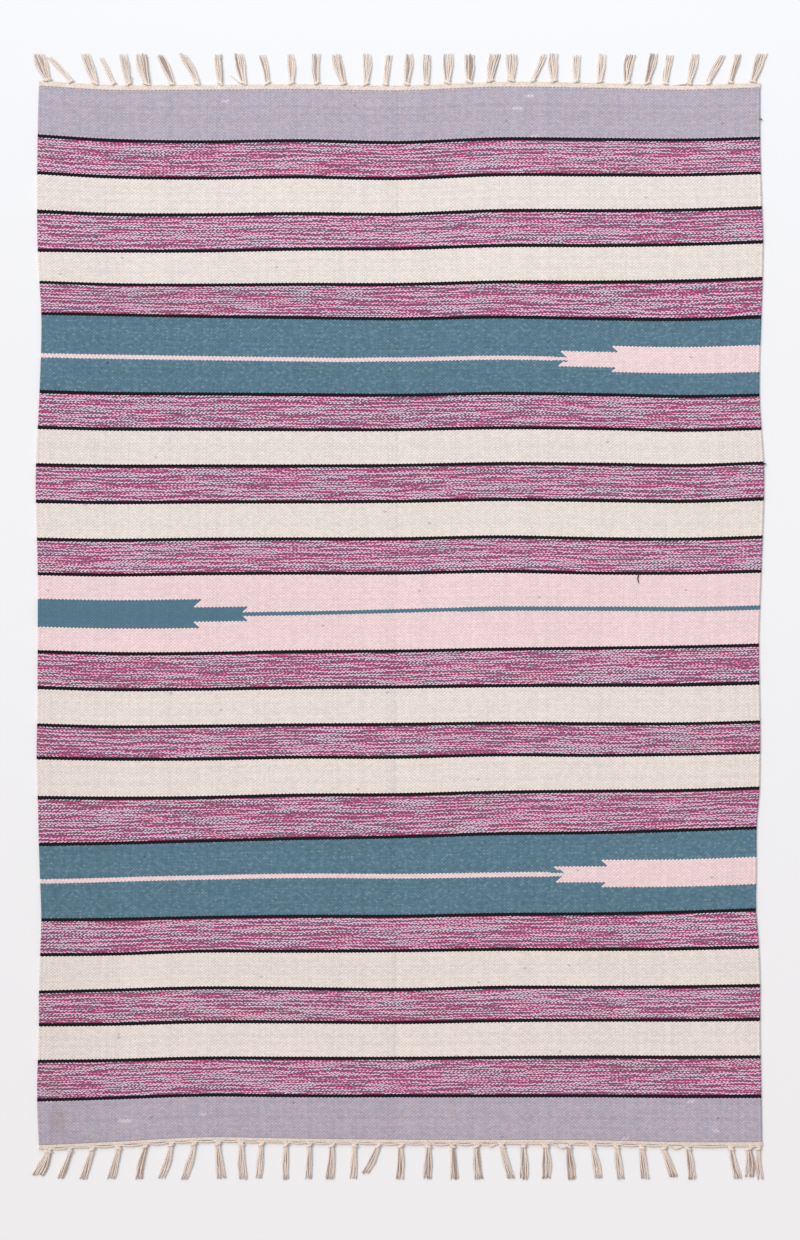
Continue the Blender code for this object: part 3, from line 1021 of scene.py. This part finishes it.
print("tassels:", len(TASSELS_FAR), "far and", len(TASSELS_NEAR), "near")

# %% [markdown]
# The yarns of a tassel come out of the heading in a fan, pass through the knot, and spread again to tips
# that were cut with shears. They keep together in two to four strands, with grooves between them. Each yarn
# is one curve with its own wave, so no two tassels are alike.

# %% Yarns of a tassel
KNOT_START = 8.5 * MM
KNOT_END = 14.5 * MM
YARN_RADIUS = 1.05 * MM
YARN_PITCH = 1.55
FEWEST_YARNS = 5
STRANDS_BY_WIDTH = ((10, 2), (15.5, 3), (100, 4))
STRAND_PULL = 0.3
ROOTS_AT = 5.0 * MM
ROOT_SPREAD = 1.45
ROOT_HEIGHT = 2.6 * MM
NECK_HEIGHT = 3.0 * MM
KNOT_SPREAD = 0.50
NECK = ((ROOTS_AT, ROOT_SPREAD, ROOT_HEIGHT), (KNOT_START, KNOT_SPREAD, NECK_HEIGHT))
OPEN_AT = 0.55
YARN_WAVE = 1.2 * MM
WAVE_TURNS = (0.5, 1.3)
FLARE = 1.12
TASSEL_BOW = 1.6 * MM
TIP_RAGGED = 2.5 * MM
SECOND_LAYER = 1.7 * MM
LAYER_SINKS = 0.45
LEAVES_KNOT = 0.9 * MM
SETTLE_RATE = 1.4
TAPER_FROM = 0.8
TAPER = 0.35
YARN_STATIONS = (0.0, 0.12, 0.26, 0.42, 0.58, 0.72, 0.86, 1.0)


def tassel_yarns(tassel, end, rng):
    """The paths of one tassel's yarns, as lists of points with a radius each."""
    width = tassel["width"] * MM
    count = max(FEWEST_YARNS, round(tassel["width"] / YARN_PITCH))
    strands = next(number for limit, number in STRANDS_BY_WIDTH if tassel["width"] < limit)
    root_x, root_y = root_of(tassel, end)
    tip_y = TIPS[end] - end * tassel["short"] * MM
    bow = rng.uniform(-TASSEL_BOW, TASSEL_BOW)
    order = rng.sample(range(count), count)
    paths = []
    for number in range(count):
        lane = (number + 0.5) / count
        strand = (math.floor(lane * strands) + 0.5) / strands
        lane += (strand - lane) * STRAND_PULL - 0.5
        other = (order[number] + 0.5) / count - 0.5
        upper = (number % 2) * SECOND_LAYER
        phase = rng.uniform(0, math.tau)
        turns = rng.uniform(*WAVE_TURNS)
        path = []
        for out, spread, height in NECK:
            path.append((root_x + other * width * spread, root_y + end * out, height, YARN_RADIUS))
        own_tip = tip_y - end * rng.uniform(0, TIP_RAGGED)
        for share in YARN_STATIONS:
            opened = KNOT_SPREAD + (FLARE - KNOT_SPREAD) * min(1, share / OPEN_AT)
            x = root_x + tassel["lean"] * MM * share + lane * width * opened
            x += bow * math.sin(math.pi * share)
            x += YARN_WAVE * share * math.sin(phase + turns * math.tau * share)
            y = root_y + end * KNOT_END + (own_tip - root_y - end * KNOT_END) * share
            settle = min(1, share * SETTLE_RATE)
            z = YARN_RADIUS + upper * (1 - LAYER_SINKS * settle) + LEAVES_KNOT * (1 - settle)
            radius = YARN_RADIUS * (1 - TAPER * max(0, share - TAPER_FROM) / (1 - TAPER_FROM))
            path.append((x, y, z, radius))
        paths.append(path)
    return paths


print("yarns", round(2 * YARN_RADIUS / MM, 2), "mm thick, one for each", YARN_PITCH, "mm of width")

# %% [markdown]
# The knot is the same bundle turned once round itself. Modelled strand by strand it would be hidden work,
# so what shows is made: a few turns of yarn lie close together round the neck, a little tilted, wider than
# they are high because the knot is pressed on the floor.

# %% Knots
KNOT_TURNS = 2.6
KNOT_POINTS = 11
KNOT_RADIUS = 1.3 * MM
KNOT_TILT = 2.4 * MM
KNOT_TILTS = (0.3, 1.0)
KNOT_FIT = 0.9
KNOT_HALF_HEIGHT = 2.0 * MM
KNOT_THIN = 0.85
KNOT_SWELL = 0.25


def knot_path(tassel, end, rng):
    """A coil of yarn round the neck of one tassel."""
    root_x, root_y = root_of(tassel, end)
    wide = tassel["width"] * MM * KNOT_SPREAD / 2 + KNOT_RADIUS * KNOT_FIT
    tilt = rng.choice((-1, 1)) * rng.uniform(*KNOT_TILTS) * KNOT_TILT
    first = rng.uniform(0, math.tau)
    path = []
    steps = round(KNOT_TURNS * KNOT_POINTS)
    for step in range(steps + 1):
        share = step / steps
        turn = first + share * KNOT_TURNS * math.tau
        fat = KNOT_THIN + KNOT_SWELL * math.sin(math.pi * share)
        x = root_x + wide * fat * math.cos(turn)
        y = root_y + end * (KNOT_START + (KNOT_END - KNOT_START - 2 * KNOT_RADIUS) * share + KNOT_RADIUS)
        y += tilt * math.cos(turn)
        z = KNOT_RADIUS + KNOT_HALF_HEIGHT + KNOT_HALF_HEIGHT * fat * math.sin(turn)
        path.append((x, y, z, KNOT_RADIUS))
    return path


print("knots of", KNOT_TURNS, "turns")

# %% [markdown]
# Many yarns are quickest as one curve object with a round bevel, made a mesh once all are laid. The bevel
# leaves the yarns' ends open, so they are closed on the mesh.

# %% Yarns as one mesh
YARN_SIDES = 6


def yarn_piece(name, paths, seed, pale=0):
    """One mesh of round yarns along the given paths. The last `pale` of them are never brown."""
    curve = bpy.data.curves.new(name, "CURVE")
    curve.dimensions = "3D"
    curve.bevel_depth = 1.0
    curve.bevel_resolution = (YARN_SIDES - 4) // 2
    for path in paths:
        spline = curve.splines.new("POLY")
        spline.points.add(len(path) - 1)
        for point, (x, y, z, radius) in zip(spline.points, path):
            point.co = (x, y, z, 1.0)
            point.radius = radius
    piece = add_object(name, curve)
    bpy.ops.object.select_all(action="DESELECT")
    piece.select_set(True)
    bpy.context.view_layer.objects.active = piece
    bpy.ops.object.convert(target="MESH")
    piece = bpy.context.object
    bpy.ops.object.mode_set(mode="EDIT")
    bpy.ops.mesh.select_all(action="SELECT")
    bpy.ops.mesh.fill_holes(sides=YARN_SIDES)
    bpy.ops.mesh.normals_make_consistent(inside=False)
    bpy.ops.object.mode_set(mode="OBJECT")
    bpy.ops.object.shade_smooth()
    write_yarn_map(piece, paths, seed, pale)
    return piece


print("yarns are round, with", YARN_SIDES, "sides")

# %% [markdown]
# The mesh keeps the order of the curve's points, so each point can be told how far along and round its yarn
# it lies, and which yarn it is on. The finish reads both: the first for the turns of the plies, the second
# for a shade of its own.

# %% Where each point lies on its yarn
PALE_FROM = 0.4


def write_yarn_map(piece, paths, seed, pale):
    """Tell each face corner how far round and along its yarn it lies, and each point its yarn's shade."""
    mesh = piece.data
    rings = sum(len(path) for path in paths)
    if len(mesh.vertices) != rings * YARN_SIDES:
        raise ValueError(f"{piece.name}: {len(mesh.vertices)} points on {rings} rings")
    rng = np.random.default_rng(seed)
    side = np.tile(np.arange(YARN_SIDES), rings)
    lengths = []
    shades = []
    for number, path in enumerate(paths):
        spots = np.array([point[:3] for point in path])
        runs = np.concatenate([[0], np.cumsum(np.linalg.norm(np.diff(spots, axis=0), axis=1))])
        lengths.append(np.repeat(runs, YARN_SIDES))
        darkest = PALE_FROM if number >= len(paths) - pale else 0.0
        shades.append(np.full(len(path) * YARN_SIDES, rng.uniform(darkest, 1)))
    length = np.concatenate(lengths)
    shade = mesh.attributes.new("shade", "FLOAT", "POINT")
    shade.data.foreach_set("value", np.concatenate(shades).astype(np.float32))
    corners = corners_of(piece)
    around = side[corners].astype(float)
    for face in mesh.polygons:
        own = slice(face.loop_start, face.loop_start + face.loop_total)
        if face.loop_total == 4 and around[own].max() == YARN_SIDES - 1:
            around[own] = np.where(around[own] == 0, YARN_SIDES, around[own])
    layer = mesh.uv_layers[0] if mesh.uv_layers else mesh.uv_layers.new(name="yarn")
    layer.name = "yarn"
    layer.data.foreach_set("uv", np.column_stack([around / YARN_SIDES, length[corners]]).ravel())


print("shades run from 0 to 1, those of pale yarns from", PALE_FROM)

# %% [markdown]
# All tassels and knots of one end are one piece. The knots are laid last, so that the map can keep them
# pale.

# %% Make the tassels
def make_tassels(name, end, seed):
    """All tassels of one end with their knots."""
    rng = random.Random(seed)
    paths = []
    knots = []
    for tassel in tassels_of(end):
        paths += tassel_yarns(tassel, end, rng)
        knots.append(knot_path(tassel, end, rng))
    return yarn_piece(name, paths + knots, seed, pale=len(knots))


tassels_far = make_tassels("tassels_far", 1, seed=21)
tassels_near = make_tassels("tassels_near", -1, seed=22)
print("tassels:", triangles(tassels_far), "and", triangles(tassels_near), "triangles")

# %% [markdown]
# Along its outer side each heading is locked by a twined pair of yarns that catches the warps before they
# are knotted. At the near end the pair is slack, and it hangs away from the heading in small loops between
# the knots. The two yarns are two spirals, half a turn apart, round one line that follows the heading.

# %% Twined edge
TWINE_AT = {1: 8.0 * MM, -1: 7.0 * MM}
TWINE_TURN = 6.1 * MM
TWINE_POINTS = 6
TWINE_RADIUS = 0.95 * MM
TWINE_SWING = 0.85 * MM
TWINE_LIFT = 0.6 * MM
SLACK = {1: 0.8 * MM, -1: 2.6 * MM}
LOOPS = {1: ((476, 46, 3.0),), -1: ((150, 22, 5.0), (268, 34, 7.0), (457, 30, 5.0))}


def twine_line(end, x, slacks):
    """How far the middle of the twined pair lies outside the heading's place at each x."""
    places = [tassel["place"] * MM for tassel in tassels_of(end)]
    gap = np.clip(np.searchsorted(places, x) - 1, 0, len(places) - 2)
    low = np.array(places)[gap]
    share = np.clip((x - low) / (np.array(places)[gap + 1] - low), 0, 1)
    sag = np.array(slacks)[gap] * np.sin(math.pi * share) ** 2
    for middle, wide, deep in LOOPS[end]:
        share = np.clip((x - middle * MM) / (wide * MM) + 0.5, 0, 1)
        sag = np.maximum(sag, deep * MM * np.sin(math.pi * share) ** 2)
    return sag


def make_twine(name, end, seed):
    """The two twined yarns along one heading."""
    rng = random.Random(seed)
    slacks = [rng.uniform(0, SLACK[end]) for _ in range(len(tassels_of(end)) - 1)]
    turns = WIDTH / TWINE_TURN
    across = np.linspace(-WIDTH / 2, WIDTH / 2, round(turns * TWINE_POINTS) + 1)
    x, edge = lay_row(end * LENGTH / 2, across)
    middle = edge + end * (TWINE_AT[end] + twine_line(end, across, slacks))
    paths = []
    for half in (0, math.pi):
        turn = across / TWINE_TURN * math.tau + half
        y = middle + TWINE_SWING * np.cos(turn)
        z = TWINE_RADIUS + TWINE_SWING + TWINE_LIFT + TWINE_SWING * np.sin(turn)
        paths.append([(x[i], y[i], z[i], TWINE_RADIUS) for i in range(len(across))])
    return yarn_piece(name, paths, seed, pale=len(paths))


twine_far = make_twine("twine_far", 1, seed=33)
twine_near = make_twine("twine_near", -1, seed=37)
print("twine:", triangles(twine_far), "and", triangles(twine_near), "triangles")

# %% [markdown]
# Cotton warp is dull and creamy. The hollows where the plies meet are painted brown-grey, as painted shade.
# Its finish reads the yarn's own map: a sine that goes round and along together makes the slanted turns,
# for the painted shade and for relief.

# %% Cotton yarn
COTTON_LIGHT = linear(250, 238, 228)
COTTON_HOLLOW_SHADE = linear(226, 208, 197)
COTTON_BROWN = linear(170, 144, 130)
BROWN_YARNS = 0.16
BROWN_MIX = 0.7
PLIES = 2
TURNS_PER_METRE = 150
PLY_HEIGHT = 0.25 * MM
HOLLOW_SHADE_RANGE = (0.35, 1.15)
SHADE_RANGE = 0.14
FUZZ_RANGE = 0.12
YARN_FUZZ = 900.0


def fuzz_of(wire, scale, detail):
    """Fine noise along the rug's own directions, finer as `scale` grows."""
    place = wire.node("ShaderNodeTexCoord", out=3)
    return wire.node("ShaderNodeTexNoise", {"Vector": place, "Scale": scale, "Detail": detail})


def cotton_yarn(name, tone):
    """Plied cotton, for tassels, knots and twine, with painted shade in its ply hollows, made lighter or
    darker by `tone`.
    """
    material, shader, wire = new_finish(name, roughness=0.88, sheen=0.15)
    spot = wire.node("ShaderNodeUVMap", uv_map="yarn")
    around = wire.node("ShaderNodeSeparateXYZ", {0: spot})
    shade = wire.node("ShaderNodeAttribute", out=2, attribute_name="shade")
    turn = wire.maths("SINE", (around * PLIES + around.other(1) * TURNS_PER_METRE) * math.tau)
    fuzz = fuzz_of(wire, YARN_FUZZ, detail=2.0)
    rope = turn * 0.5 + fuzz
    # Painted shade in the hollows between the plies.
    colour = mix(between(rope, *HOLLOW_SHADE_RANGE), COTTON_HOLLOW_SHADE, COTTON_LIGHT)
    colour = mix((shade < BROWN_YARNS) * BROWN_MIX, colour, COTTON_BROWN)
    light = (shade - 0.5) * SHADE_RANGE + (fuzz - 0.5) * FUZZ_RANGE + tone
    feed(shader, brighten(colour, light), rope, PLY_HEIGHT)
    return material


print("plies turn", TURNS_PER_METRE, "times a metre")

# %% [markdown]
# The headings have no map of yarns, so their finish lies over the rug's own directions. The near end's
# cotton is painted a little darker than the far end's, as painted shade. Each end gets one finish for its
# yarns and one for its heading.

# %% Dress the headings and the fringes
HEADING_LIGHT = linear(237, 225, 216)
HEADING_DARK = linear(217, 201, 190)
HEADING_FUZZ = 420.0
HEADING_FUZZ_RANGE = (0.35, 0.65)
HEADING_STREAKS = 60.0
STREAK_RANGE = 0.16
HEADING_RELIEF = 0.8
# Painted shade: the near end's cotton is made darker than the far end's.
PAINTED_SHADE_BY_END = {"far": 1.0, "near": 0.96}


def cotton_heading(name, tone):
    """Woven cream cotton of the headings, made lighter or darker by `tone`, the painted shade of its end."""
    material, shader, wire = new_finish(name, roughness=0.9, sheen=0.12)
    fuzz = fuzz_of(wire, HEADING_FUZZ, detail=3.0)
    streaks = fuzz_of(wire, HEADING_STREAKS, detail=1.0)
    colour = mix(between(fuzz, *HEADING_FUZZ_RANGE), HEADING_DARK, HEADING_LIGHT)
    feed(shader, brighten(colour, (streaks - 0.5) * STREAK_RANGE + tone), fuzz, PLY_HEIGHT, HEADING_RELIEF)
    return material


for end_name, tone in PAINTED_SHADE_BY_END.items():
    yarn_finish = cotton_yarn("warp_cotton_" + end_name, tone)
    dress(bpy.data.objects["tassels_" + end_name], yarn_finish)
    dress(bpy.data.objects["twine_" + end_name], yarn_finish)
    dress(bpy.data.objects["heading_" + end_name], cotton_heading("heading_cotton_" + end_name, tone))
print("cotton finishes made for both ends")

# %% [markdown]
# A few things show that a hand made this rug: a black weft end was left loose on the pink band, a thick
# slub lies in a black line, and two turns of black weft stick out at the right selvedge. Three thin cotton
# yarns have come away from the far tassels and lie beside them. All are short yarns with a radius that
# swells and tapers.

# %% Loose ends and slubs
LOOSE_END = ((396, 70, 0.7), (396.5, 66, 0.9), (395.5, 61, 0.9), (396.5, 56, 0.8), (398, 53, 0.5))
SLUB = ((-214, -60.4, 0.5), (-209, -60.1, 1.2), (-203, -60.3, 1.7), (-198, -60.6, 1.3), (-193, -60.3, 0.5))
UPPER_TURN = ((598.3, 824.6, 0.5), (599.6, 824.3, 0.9), (601.2, 823.9, 1.1), (602.6, 823.5, 0.6))
LOWER_TURN = ((596, 251, 0.6), (601, 251.4, 1.0), (606, 251.6, 1.2), (609, 251.2, 0.7))
STRAYS = (
    ((-266, 884, 0.4), (-270, 888, 0.5), (-275, 893, 0.5), (-281, 897, 0.4)),
    ((-447, 883, 0.4), (-443.5, 888, 0.5), (-444, 894, 0.5), (-448, 896, 0.5), (-451, 894, 0.4)),
    ((440, 882, 0.5), (438.3, 890, 0.6), (437.6, 899, 0.6), (439.5, 908, 0.5)),
)
STRAY_LIFT = 0.6 * MM
LOOSE_LIFT = 0.9
SUNK_LIFT = 0.1
BLACK_FUZZ = 700.0
BLACK_TONE = 0.6
BLACK_RELIEF = 0.8


def lying_path(points, lift):
    """A path over the cloth from places in millimetres, its yarn resting on the weave."""
    path = []
    for x, y, radius in points:
        height = float(top_height(np.array(x * MM), np.array(y * MM))) + RIB_HEIGHT
        path.append((x * MM, y * MM, height + lift * radius * MM, radius * MM))
    return path


def black_yarn():
    """The black weft, for the loose pieces of it."""
    material, shader, wire = new_finish("black_weft", roughness=0.9, sheen=0.1)
    fuzz = fuzz_of(wire, BLACK_FUZZ, detail=2.0)
    colour = brighten(YARN_COLOURS["black"][:3], fuzz + BLACK_TONE)
    feed(shader, colour, fuzz, PLY_HEIGHT, BLACK_RELIEF)
    return material


black_paths = [lying_path(LOOSE_END, LOOSE_LIFT)]
black_paths += [lying_path(points, SUNK_LIFT) for points in (SLUB, UPPER_TURN, LOWER_TURN)]
loose_ends = yarn_piece("loose_ends", black_paths, seed=41)
dress(loose_ends, black_yarn())
stray_paths = [[(x * MM, y * MM, radius * MM + STRAY_LIFT, radius * MM) for x, y, radius in points]
               for points in STRAYS]
stray_yarns = yarn_piece("stray_yarns", stray_paths, seed=42)
dress(stray_yarns, bpy.data.materials["warp_cotton_far"])
print("loose ends:", triangles(loose_ends), "triangles, stray yarns:", triangles(stray_yarns))

# %% [markdown]
# The last cell puts the pieces in place of the solids, which are hidden. The cloth stands for the woven
# solid and is a sheet of the size it had on the loom. The headings, tassels and twine stand for the two
# fringe solids. Nothing on a rug moves on its own, so every piece rides on the one body.

# %% Hide the solids and put every piece on the body
fringe = {end_name: [bpy.data.objects[kind + end_name] for kind in ("heading_", "tassels_", "twine_")]
          for end_name in ("far", "near")}
fringe["far"].append(stray_yarns)
for piece in (cloth, loose_ends):
    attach(piece, "root")
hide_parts("woven_field")
for end_name, pieces in fringe.items():
    for piece in pieces:
        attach(piece, "root")
        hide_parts("heading_fringe_" + end_name)

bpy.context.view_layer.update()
